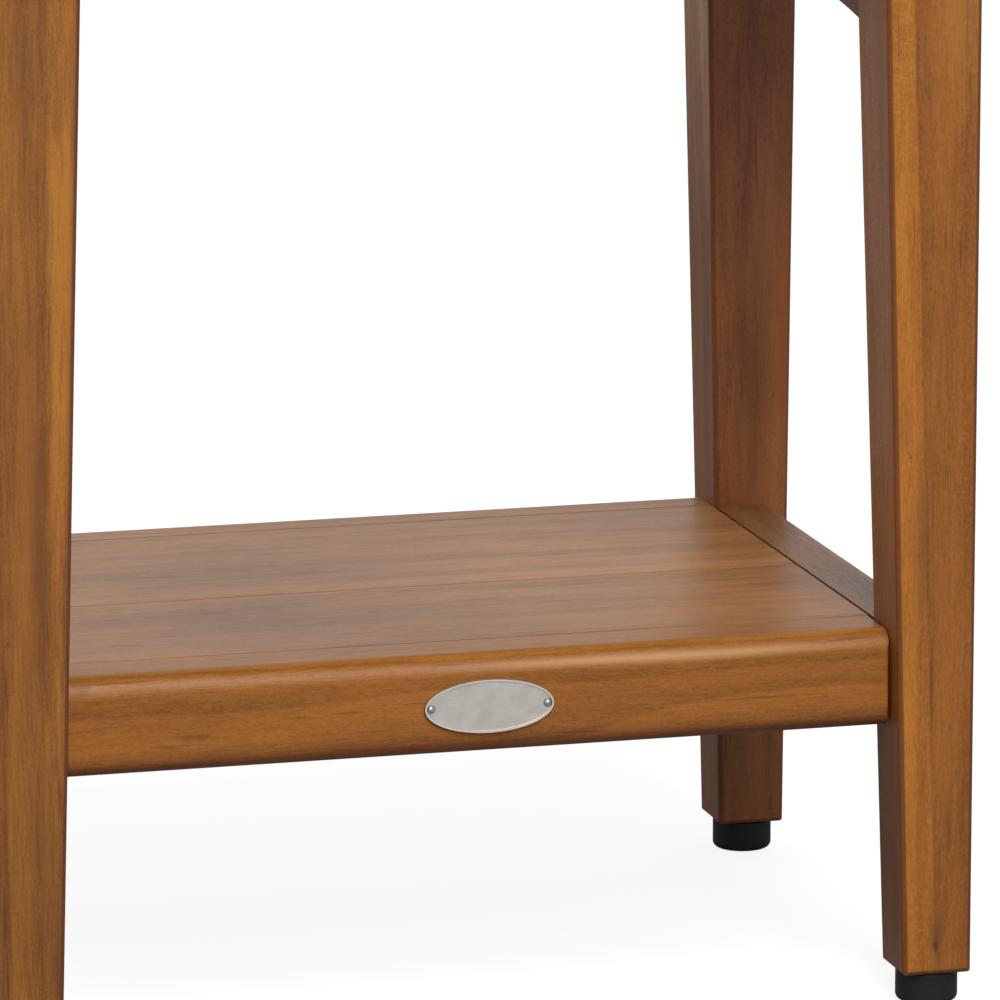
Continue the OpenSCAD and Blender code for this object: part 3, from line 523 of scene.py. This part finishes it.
MARKS_AND_PAINTED_LIGHT = {
    "leg_front_right": (
        ("stripe", GLOWING, 1.0, (-1.0, 0.0, -0.033), -0.1852, 0.0006),
        ("spot", KNOT, 0.9, (0.1848, FRONT_Y, 0.0253), (0.0020, 0.004, 0.0034)),
        ("spot", DARK_MARK_AND_SHADE, 0.55, (0.1850, FRONT_Y, 0.0290), (0.0050, 0.006, 0.0170)),
        ("spot", DARK_MARK_AND_SHADE, 0.45, (0.1893, FRONT_Y, 0.0740), (0.0030, 0.006, 0.0160)),
        ("spot", KNOT, 0.8, (0.1722, FRONT_Y, 0.2254), (0.0010, 0.003, 0.0010)),
        ("spot", DARK_MARK_AND_SHADE, 0.48, (0.1770, FRONT_Y, 0.1900), (0.0060, 0.010, 0.0600)),
        ("spot", DARK_MARK_AND_SHADE, 0.65, (0.1733, FRONT_Y, 0.3820), (0.0013, 0.004, 0.0300)),
        ("spot", KNOT, 0.65, (0.1948, FRONT_Y, 0.3740), (0.0007, 0.004, 0.0120)),
        ("spot", KNOT, 0.55, (0.1915, FRONT_Y, 0.3800), (0.0006, 0.004, 0.0090)),
        ("spot", PALE_TEAK, 0.30, (0.1900, FRONT_Y, 0.4000), (0.0200, 0.006, 0.0600)),
        # painted sheen at the top of the inner face, and painted shade low on it
        ("facing", FRONT_INNER_SHEEN, 0.50, TO_LEFT, (0.1620, -0.1200, 0.4300), (0.05, 0.10, 0.2600)),
        ("facing", INNER_LOW_SHADE, 0.75, TO_LEFT, (0.1700, -0.1200, 0.0500), (0.05, 0.10, 0.2600)),
        SHADED_EDGE,
    ),
    "leg_front_left": (
        ("stripe", GLOWING, 0.75, (1.0, 0.0, -0.0155), -0.1797, 0.0008),
        # painted shade along the leg's right edge
        ("stripe", RIGHT_EDGE_SHADE, 1.0, (1.0, 0.0, -0.0276), -0.1750, 0.0012),
        ("spot", RUSSET, 0.45, (-0.1830, FRONT_Y, 0.2200), (0.0070, 0.020, 0.1400)),
        ("spot", DARK_MARK_AND_SHADE, 0.40, (-0.1760, FRONT_Y, 0.0500), (0.0080, 0.020, 0.1800)),
        ("spot", BRIGHT, 0.30, (-0.1640, FRONT_Y, 0.4300), (0.0055, 0.020, 0.1300)),
        ("spot", DARK_MARK_AND_SHADE, 0.45, (-0.1790, FRONT_Y, 0.2000), (0.0050, 0.015, 0.0350)),
        ("spot", DARK_MARK_AND_SHADE, 0.20, (-0.1770, FRONT_Y, 0.0900), (0.0045, 0.015, 0.0400)),
        ("spot", DARK_MARK_AND_SHADE, 0.35, (-0.1830, FRONT_Y, 0.3850), (0.0070, 0.020, 0.0600)),
        ("spot", KNOT, 0.50, (-0.1917, FRONT_Y, 0.1718), (0.0012, 0.004, 0.0018)),
        SHADED_EDGE,
    ),
    "leg_back_right": (
        ("spot", KNOT, 0.60, (0.1938, 0.1127, 0.0216), (0.0010, 0.004, 0.0060)),
        ("spot", RUSSET, 0.85, (0.1970, 0.1050, 0.2500), (0.0065, 0.030, 0.1400)),
        # painted shade on the back right leg's front: darker over its middle, and low down under the shelf
        ("spot", DARK_MARK_AND_SHADE, 0.55, (0.1830, 0.1080, 0.2100), (0.0150, 0.040, 0.1300)),
        ("spot", DARK_MARK_AND_SHADE, 0.60, (0.1800, 0.1250, 0.0600), (0.0400, 0.060, 0.1400)),
        # painted sheen at the top of the inner face
        ("facing", BACK_INNER_SHEEN, 0.90, TO_LEFT, (0.1620, 0.1200, 0.4100), (0.05, 0.10, 0.1700)),
        ("facing", PLUM_TINT, 0.90, TO_FRONT, (0.1820, 0.1100, 0.4300), (0.05, 0.10, 0.2500)),
        # painted shade along the eased edges, weaker on this leg
        ("eased", EASED_EDGE_SHADE, 0.35),
    ),
    "leg_back_left": (SHADED_EDGE,),
    "shelf_front_rail": (
        # painted shade on the rail's lower rounding and underside
        ("stripe", RAIL_UNDERSIDE_SHADE, 0.95, (0.0, 0.0, -1.0), -0.1202, 0.0050),
        ("spot", DARK_MARK_AND_SHADE, 0.55, (-0.1160, RAIL_Y, 0.1284), (0.0130, 0.006, 0.0022)),
        ("spot", DARK_MARK_AND_SHADE, 0.55, (-0.1273, RAIL_Y, 0.1247), (0.0070, 0.006, 0.0014)),
        ("spot", DARK_MARK_AND_SHADE, 0.60, (-0.0539, RAIL_Y, 0.1340), (0.0110, 0.006, 0.0010)),
        ("spot", DARK_MARK_AND_SHADE, 0.50, (-0.0740, RAIL_Y, 0.1333), (0.0080, 0.006, 0.0008)),
        ("spot", DARK_MARK_AND_SHADE, 0.45, (-0.0250, RAIL_Y, 0.1360), (0.0120, 0.006, 0.0009)),
        ("spot", DARK_MARK_AND_SHADE, 0.40, (-0.1616, RAIL_Y, 0.1500), (0.0080, 0.012, 0.0050)),
        ("spot", SHEEN, 0.70, (0.0700, RAIL_Y, 0.1485), (0.1300, 0.012, 0.0034)),
        # painted light: the warmer band along the top, where the sheen falls away
        ("stripe", TOP_BAND_SHADING, 0.90, (0.0, 0.0, 1.0), 0.1512, 0.0012),
        ("stripe", LIKE_BOARDS, 1.0, (0.0, 1.0, 0.0), -0.1240, 0.0012),
    ),
    "lower_side_rail_right": (
        # painted shade over the rail's top, and a painted highlight along its outer edge
        ("spot", DARK_MARK_AND_SHADE, 0.60, (0.1780, -0.0600, TOP_Z), (0.0300, 0.110, 0.0100)),
        ("stripe", OUTER_EDGE_HIGHLIGHT, 0.9, (1.0, 0.0, 0.0), 0.1865, 0.0016),
    ),
    "shelf_board_back": (
        ("spot", DARK_MARK_AND_SHADE, 0.40, (-0.0295, 0.0303, TOP_Z), (0.0250, 0.006, 0.0100)),
        ("spot", DARK_MARK_AND_SHADE, 0.50, (-0.0500, 0.0300, TOP_Z), (0.1200, 0.070, 0.0100)),
    ),
    "shelf_board_front": (
        ("spot", DARK_MARK_AND_SHADE, 0.35, (-0.0756, -0.0300, TOP_Z), (0.0500, 0.030, 0.0100)),
        ("spot", DARK_MARK_AND_SHADE, 0.50, (-0.0600, -0.0600, TOP_Z), (0.1200, 0.070, 0.0100)),
        ("spot", KNOT, 0.55, (-0.1500, -0.1015, TOP_Z), (0.0180, 0.0018, 0.0100)),
        ("spot", BRIGHT, 0.30, (0.1200, -0.0700, TOP_Z), (0.0600, 0.050, 0.0100)),
    ),
}
# name: colours, grain, pith, shift along the grain, (ring width, rings, streaks, clouds, pores, ribbon)
WOOD = {
    "leg_front_right": (LEG_TEAK, "z", (0.085, -0.118), 0.31, (0.0185, 0.25, 0.60, 0.35, 0.55, 0.5)),
    "leg_front_left": (OLIVE_TEAK, "z", (-0.068, -0.128), 1.73, (0.021, 0.30, 0.95, 0.45, 0.65, 0.1)),
    "leg_back_right": (PLUM_TEAK, "z", (0.255, 0.190), 3.12, (0.016, 0.30, 0.80, 0.30, 0.50, 0.2)),
    "leg_back_left": (LEG_TEAK, "z", (-0.250, 0.060), 5.47, (0.015, 0.35, 0.80, 0.30, 0.50, 0.3)),
    "upper_side_rail_right": (ORANGE_TEAK, "y", (0.120, 0.400), 2.21, (0.012, 0.35, 0.80, 0.30, 0.50, 0.2)),
    "upper_side_rail_left": (ORANGE_TEAK, "y", (-0.120, 0.455), 6.05, (0.012, 0.35, 0.80, 0.30, 0.50, 0.2)),
    "lower_side_rail_right": (SIDE_TEAK, "y", (0.230, 0.080), 4.40, (0.014, 0.30, 0.70, 0.20, 0.40, 0.1)),
    "lower_side_rail_left": (SIDE_TEAK, "y", (-0.240, 0.180), 7.33, (0.014, 0.30, 0.70, 0.20, 0.40, 0.1)),
    "shelf_front_rail": (ORANGE_TEAK, "x", (-0.030, 0.110), 8.62, (0.0034, 0.36, 0.45, 0.20, 0.45, 0.1)),
    "shelf_back_rail": (BACK_TEAK, "x", (0.210, 0.120), 9.14, (0.009, 0.25, 0.70, 0.20, 0.45, 0.0)),
    "shelf_board_front": (SHELF_TEAK, "x", (-0.060, 0.020), 10.9, (0.010, 0.22, 0.80, 0.30, 0.50, 0.0)),
    "shelf_board_back": (BACK_TEAK, "x", (0.090, 0.030), 12.3, (0.012, 0.22, 0.80, 0.30, 0.50, 0.0)),
    "seat_front_rail": (ORANGE_TEAK, "x", (-0.030, 0.420), 13.7, (0.009, 0.28, 0.80, 0.30, 0.50, 0.3)),
    "seat_back_rail": (ORANGE_TEAK, "x", (0.240, 0.430), 14.9, (0.009, 0.28, 0.80, 0.30, 0.50, 0.3)),
    "seat_slat_1": (ORANGE_TEAK, "x", (-0.090, 0.370), 16.1, (0.010, 0.28, 0.90, 0.30, 0.50, 0.2)),
    "seat_slat_2": (ORANGE_TEAK, "x", (-0.010, 0.530), 17.4, (0.011, 0.28, 0.90, 0.30, 0.50, 0.2)),
    "seat_slat_3": (ORANGE_TEAK, "x", (0.070, 0.380), 18.8, (0.009, 0.28, 0.90, 0.30, 0.50, 0.2)),
    "seat_slat_4": (ORANGE_TEAK, "x", (0.030, 0.360), 20.3, (0.012, 0.28, 0.90, 0.30, 0.50, 0.2)),
    "seat_cleat_left": (SAWN_TEAK, "y", (-0.200, 0.380), 21.5, (0.010, 0.25, 0.90, 0.30, 0.60, 0.0)),
    "seat_cleat_right": (SAWN_TEAK, "y", (0.110, 0.380), 22.6, (0.010, 0.25, 0.90, 0.30, 0.60, 0.0)),
    "seat_bearer": (SAWN_TEAK, "y", (0.060, 0.390), 23.8, (0.010, 0.25, 0.90, 0.30, 0.60, 0.0)),
    "shelf_cleat_left": (SAWN_TEAK, "y", (-0.200, 0.080), 24.7, (0.010, 0.25, 0.90, 0.30, 0.60, 0.0)),
    "shelf_cleat_right": (SAWN_TEAK, "y", (0.110, 0.080), 25.9, (0.010, 0.25, 0.90, 0.30, 0.60, 0.0)),
    "shelf_bearer": (SAWN_TEAK, "y", (0.060, 0.080), 27.2, (0.010, 0.25, 0.90, 0.30, 0.60, 0.0)),
}
for name, (colours, grain, pith, shift, figure) in WOOD.items():
    dress(name, teak_material("teak_" + name, colours, grain, pith, shift, figure, MARKS_AND_PAINTED_LIGHT.get(name, ())))

DOWEL_FIGURE = (0.004, 0.2, 0.6, 0.2, 0.3, 0.0)
DOWEL_PITH = (0.01, 0.02)
DOWEL_SHIFT = 1.9
DOWEL_GRAIN = {"upper_rail_dowels": "y", "lower_rail_dowels": "y", "leg_top_dowels": "z", "shelf_dowels": "y"}
for name, grain in DOWEL_GRAIN.items():
    paint = teak_material("hardwood_" + name, DOWEL_WOOD, grain, DOWEL_PITH, DOWEL_SHIFT, DOWEL_FIGURE)
    dress(name, paint)


# ---------------------------------------------------------------- metal and rubber

SCRATCH_GRAIN = (260.0, 9000.0, 9000.0)
SMUDGE_GRAIN = (160.0, 160.0, 160.0)
SCUFF_BUMP = 0.4


def make_scuff_group():
    """Fine scratches along the X axis and soft cloudy patches, as two masks."""
    tree, given = new_group("scuffs", ("Place",), results=(("Lines", "Float"), ("Clouds", "Float")))
    lines = noise(tree, given["Place"], SCRATCH_GRAIN, 3.0, 0.7)
    clouds = noise(tree, given["Place"], SMUDGE_GRAIN, 3.0, 0.6)
    add_node(tree, "NodeGroupOutput", {"Lines": lines, "Clouds": clouds})
    return tree


SCUFF = make_scuff_group()


def plain_material(name, dark, pale, rough, metallic, bump_depth, specular=0.5, rim=None):
    """A metal or rubber whose colour and gloss vary a little with its scuffs."""
    paint, tree = new_material(name)
    place = add_node(tree, "ShaderNodeTexCoord").outputs["Object"]
    scuff = add_group(tree, SCUFF, {"Place": place})
    both = math_node(tree, "MULTIPLY", math_node(tree, "ADD", scuff["Lines"], scuff["Clouds"]), 0.5)
    colour = mixed(tree, ramp_range(tree, both, 0.3, 0.7, smooth=False), (*dark, 1), (*pale, 1))
    gloss = math_node(tree, "MULTIPLY_ADD", scuff["Clouds"], rough[1] - rough[0], rough[0])
    height = scuff["Lines"] if metallic else scuff["Clouds"]
    if rim:
        colour, metallic = rim(tree, place, colour)
    bump = add_node(
        tree, "ShaderNodeBump", {"Strength": SCUFF_BUMP, "Distance": bump_depth, "Height": height})
    shader = add_node(
        tree, "ShaderNodeBsdfPrincipled",
        {"Base Color": colour, "Roughness": gloss, "Metallic": metallic, "Specular IOR Level": specular,
         "Normal": bump.outputs[0]})
    add_node(tree, "ShaderNodeOutputMaterial", {"Surface": shader.outputs[0]})
    return paint


PLATE_LOW, PLATE_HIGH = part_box("oval_plate")
PLATE_MIDDLE = (PLATE_LOW + PLATE_HIGH) / 2
PLATE_HALF = (PLATE_HIGH - PLATE_LOW) / 2
PLATE_THICKNESS = 0.0009
RIM_W = 0.0009
PIN_HEAD_R = 0.0014
# painted highlight: the light colour the rim is painted
RIM_HIGHLIGHT = (0.86, 0.77, 0.68, 1)
GRIME_AND_EDGE_SHADE = (0.16, 0.13, 0.10, 1)
# how much of the grime and the painted edge shade shows, and how much of the grime lies inside the rim
GRIME_AND_SHADE_SHARE = 0.8
INNER_GRIME = 0.25
# how metallic the plate's face and its rim are
FACE_METAL = 0.92
RIM_METAL = 0.47
# distances in from the plate's edge, and out from a pin's middle, over which each mark fades
RIM_FADE = (RIM_W * 0.6, RIM_W * 0.95)
INNER_GRIME_FADE = (RIM_W * 1.0, RIM_W * 1.6)
EDGE_SHADE_FADE = (RIM_W * 0.05, RIM_W * 0.30)
PIN_GRIME_FADE = (PIN_HEAD_R * 1.05, PIN_HEAD_R * 1.5)
PINS_LOW, PINS_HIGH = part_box("plate_pins")
PIN_PLACES = (PINS_LOW.x + PIN_HEAD_R, PINS_HIGH.x - PIN_HEAD_R)
PIN_Z = (PINS_LOW.z + PINS_HIGH.z) / 2


def plate_rim(tree, place, colour):
    """The oval's rim is painted lighter as a highlight, and painted shade darkens its outer edge and its
    side, with a faint line of grime inside the rim and a ring of grime round each pin. Gives the colour and
    how metallic it is."""
    centred = vector_node(tree, "SUBTRACT", place, PLATE_MIDDLE)
    across = (1.0 / PLATE_HALF.x, 0.0, 1.0 / PLATE_HALF.z)
    once = scaled(tree, centred, across)
    level = vector_node(tree, "DOT_PRODUCT", once, once)
    slope = vector_node(tree, "LENGTH", scaled(tree, once, across))
    room = math_node(tree, "SUBTRACT", 1.0, level)
    inward = math_node(tree, "DIVIDE", room, math_node(tree, "MULTIPLY", slope, 2.0))
    # painted highlight on the rim
    rim_highlight = fade_out(tree, inward, *RIM_FADE)
    grime_and_shade = fade_out(tree, inward, *INNER_GRIME_FADE)
    grime_and_shade = math_node(tree, "SUBTRACT", grime_and_shade, rim_highlight, clamp=True)
    grime_and_shade = math_node(tree, "MULTIPLY", grime_and_shade, INNER_GRIME)
    # painted shade: a dark line along the plate's outer edge and its side, where it meets the wood
    edge = fade_out(tree, inward, *EDGE_SHADE_FADE)
    grime_and_shade = math_node(tree, "MAXIMUM", grime_and_shade, edge)
    for x in PIN_PLACES:
        offset = scaled(tree, vector_node(tree, "SUBTRACT", place, (x, 0.0, PIN_Z)), (1.0, 0.0, 1.0))
        reach = vector_node(tree, "LENGTH", offset)
        ring = fade_out(tree, reach, *PIN_GRIME_FADE)
        grime_and_shade = math_node(tree, "MAXIMUM", grime_and_shade, ring)
    colour = mixed(tree, rim_highlight, colour, RIM_HIGHLIGHT)
    colour = mixed(tree, math_node(tree, "MULTIPLY", grime_and_shade, GRIME_AND_SHADE_SHARE), colour, GRIME_AND_EDGE_SHADE)
    metal = math_node(tree, "MULTIPLY_ADD", rim_highlight, RIM_METAL - FACE_METAL, FACE_METAL)
    return colour, metal


# each with its dark and pale colour, how rough it is, how metallic, and how deep its scuffs are
rubber = plain_material(
    "black_rubber", (0.008, 0.008, 0.008), (0.016, 0.015, 0.016), (0.5, 0.7), 0.0, 0.0001, specular=0.3)
stainless = plain_material(
    "stainless_steel", (0.50, 0.50, 0.50), (0.68, 0.68, 0.68), (0.22, 0.42), 1.0, 0.00002)
zinc = plain_material(
    "zinc_plated_steel", (0.46, 0.47, 0.49), (0.62, 0.63, 0.66), (0.28, 0.5), 1.0, 0.00002)
brass = plain_material(
    "turned_brass", (0.56, 0.40, 0.16), (0.74, 0.57, 0.28), (0.25, 0.45), 1.0, 0.00002)
plate_metal = plain_material(
    "brushed_plate", (0.66, 0.61, 0.57), (0.88, 0.82, 0.77), (0.40, 0.5), 1.0, 0.00003, rim=plate_rim)
dress("oval_plate", plate_metal)
for part in ("seat", "shelf"):
    for fastener in ("_screws", "_bolts", "_bolt_washers"):
        dress(part + fastener, stainless)
for name in ("seat_bolt_inserts", "shelf_bolt_inserts", "foot_inserts"):
    dress(name, brass)
for corner in CORNERS:
    dress("foot_pad_" + corner, rubber)


# ---------------------------------------------------------------- turned pieces: studs and pins

def only(thing):
    bpy.ops.object.select_all(action="DESELECT")
    thing.select_set(True)
    bpy.context.view_layer.objects.active = thing


def pick_faces(thing, wanted):
    """In edit mode, selects only the faces whose centre and normal pass the test."""
    bpy.ops.mesh.select_all(action="DESELECT")
    bpy.ops.mesh.select_mode(type="FACE")
    shape = bmesh.from_edit_mesh(thing.data)
    for face in shape.faces:
        face.select_set(wanted(face.calc_center_median(), face.normal))
    bmesh.update_edit_mesh(thing.data)


def moved_copy(thing, name, way):
    """A copy with its own mesh, moved by that much, with its object at the origin."""
    copy = thing.copy()
    copy.data = thing.data.copy()
    copy.name = name
    bpy.context.scene.collection.objects.link(copy)
    only(copy)
    copy.location = way
    bpy.ops.object.transform_apply(location=True, rotation=True, scale=True)
    return copy


# a face counts as facing one way when that part of its normal is more than this
TURNED_TO = 0.9

STUD_R = 0.0040
ROOT_R = 0.0033
FLANGE_R = 0.0080
FLANGE_H = 0.0025
PITCH = 0.00125
RIDGE_W = PITCH * 0.92
MERGE_GAP = 0.00001
STUD_CREASE = math.radians(35.0)
STUD_SIDES = 24
TIP_BEVEL = 0.0008
THREAD_RUNOUT = 0.0012


def make_stud(foot, length):
    """A flange with a threaded stud on it: the rod, and one ridge wound up it. The foot is the middle of
    its lowest face."""
    bpy.ops.object.select_all(action="DESELECT")
    bpy.ops.mesh.primitive_cylinder_add(
        vertices=STUD_SIDES, radius=FLANGE_R, depth=FLANGE_H,
        location=(foot.x, foot.y, foot.z + FLANGE_H / 2))
    rod = bpy.context.object
    bpy.ops.object.transform_apply(location=True, rotation=True, scale=True)
    bpy.ops.object.mode_set(mode="EDIT")
    pick_faces(rod, lambda centre, normal: normal.z > TURNED_TO)
    bpy.ops.mesh.inset(thickness=FLANGE_R - ROOT_R, depth=0.0)
    bpy.ops.mesh.extrude_region_move(TRANSFORM_OT_translate={"value": (0.0, 0.0, length - FLANGE_H)})
    bpy.ops.mesh.bevel(offset=TIP_BEVEL, segments=2, affect="EDGES")
    bpy.ops.object.mode_set(mode="OBJECT")

    turns = int((length - FLANGE_H - 2 * TIP_BEVEL - THREAD_RUNOUT) / PITCH)
    bpy.ops.object.select_all(action="DESELECT")
    bpy.ops.mesh.primitive_circle_add(
        vertices=4, radius=0.5, fill_type="NGON", location=(0.0, 0.0, 0.0), rotation=(QUARTER_TURN, 0.0, 0.0))
    ridge = bpy.context.object
    ridge.scale = (2 * (STUD_R - ROOT_R), RIDGE_W, 1.0)
    bpy.ops.object.transform_apply(location=True, rotation=True, scale=True)
    bpy.ops.object.mode_set(mode="EDIT")
    bpy.ops.mesh.select_all(action="SELECT")
    bpy.ops.transform.translate(value=(ROOT_R, 0.0, 0.0))
    bpy.ops.object.mode_set(mode="OBJECT")
    winding = ridge.modifiers.new("winding", "SCREW")
    winding.axis = "Z"
    winding.angle = math.radians(360.0)
    winding.screw_offset = PITCH
    winding.iterations = turns
    winding.steps = STUD_SIDES
    winding.render_steps = STUD_SIDES
    winding.use_merge_vertices = True
    winding.merge_threshold = MERGE_GAP
    bpy.ops.object.modifier_apply(modifier="winding")
    bpy.ops.object.mode_set(mode="EDIT")
    bpy.ops.mesh.select_all(action="SELECT")
    bpy.ops.transform.translate(value=(foot.x, foot.y, foot.z + FLANGE_H + THREAD_RUNOUT))
    bpy.ops.mesh.normals_make_consistent(inside=False)
    bpy.ops.object.mode_set(mode="OBJECT")
    only(rod)
    ridge.select_set(True)
    bpy.ops.object.join()
    bpy.ops.object.shade_smooth_by_angle(angle=STUD_CREASE)
    rod.data.materials.append(zinc)
    return rod


stud_low, stud_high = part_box("foot_stud_" + CORNERS[0])
first_foot = Vector(((stud_low.x + stud_high.x) / 2, (stud_low.y + stud_high.y) / 2, stud_low.z))
stud = make_stud(first_foot, stud_high.z - stud_low.z)
stud.name = "threaded_stud_" + CORNERS[0]
studs = {CORNERS[0]: stud}
for corner in CORNERS[1:]:
    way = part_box("foot_stud_" + corner)[0] - stud_low
    studs[corner] = moved_copy(stud, "threaded_stud_" + corner, way)
for corner, stud in studs.items():
    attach(stud, "pad_" + corner)
    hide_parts("foot_stud_" + corner)

PIN_SHANK_R = 0.0006
PIN_DOME = 0.0012
PIN_DOME_ROUND = PIN_DOME * 0.95
PIN_SIDES = 32
PIN_CREASE = math.radians(50.0)


def make_pin(middle, face_y, tip_y):
    """A pin with a domed head on the plate's face, and its shank in the wood behind."""
    bpy.ops.object.select_all(action="DESELECT")
    bpy.ops.mesh.primitive_cylinder_add(
        vertices=PIN_SIDES, radius=PIN_HEAD_R, depth=PIN_DOME,
        location=(middle.x, face_y - PIN_DOME / 2, middle.z), rotation=(QUARTER_TURN, 0.0, 0.0))
    pin = bpy.context.object
    bpy.ops.object.transform_apply(location=True, rotation=True, scale=True)
    bpy.ops.object.mode_set(mode="EDIT")
    pick_faces(pin, lambda centre, normal: normal.y < -TURNED_TO)
    bpy.ops.mesh.bevel(offset=PIN_DOME_ROUND, segments=6, profile=0.5, affect="EDGES")
    pick_faces(pin, lambda centre, normal: normal.y > TURNED_TO)
    bpy.ops.mesh.inset(thickness=PIN_HEAD_R - PIN_SHANK_R, depth=0.0)
    bpy.ops.mesh.extrude_region_move(TRANSFORM_OT_translate={"value": (0.0, tip_y - face_y, 0.0)})
    bpy.ops.mesh.normals_make_consistent(inside=False)
    bpy.ops.object.mode_set(mode="OBJECT")
    bpy.ops.object.shade_smooth_by_angle(angle=PIN_CREASE)
    pin.data.materials.append(stainless)
    return pin


pin_left = make_pin(Vector((PIN_PLACES[0], 0.0, PIN_Z)), PLATE_HIGH.y - PLATE_THICKNESS, PINS_HIGH.y)
pin_left.name = "domed_pin_left"
pin_way = Vector((PIN_PLACES[1] - PIN_PLACES[0], 0.0, 0.0))
pin_right = moved_copy(pin_left, "domed_pin_right", pin_way)
for pin in (pin_left, pin_right):
    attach(pin, "bench")
    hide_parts("plate_pins")
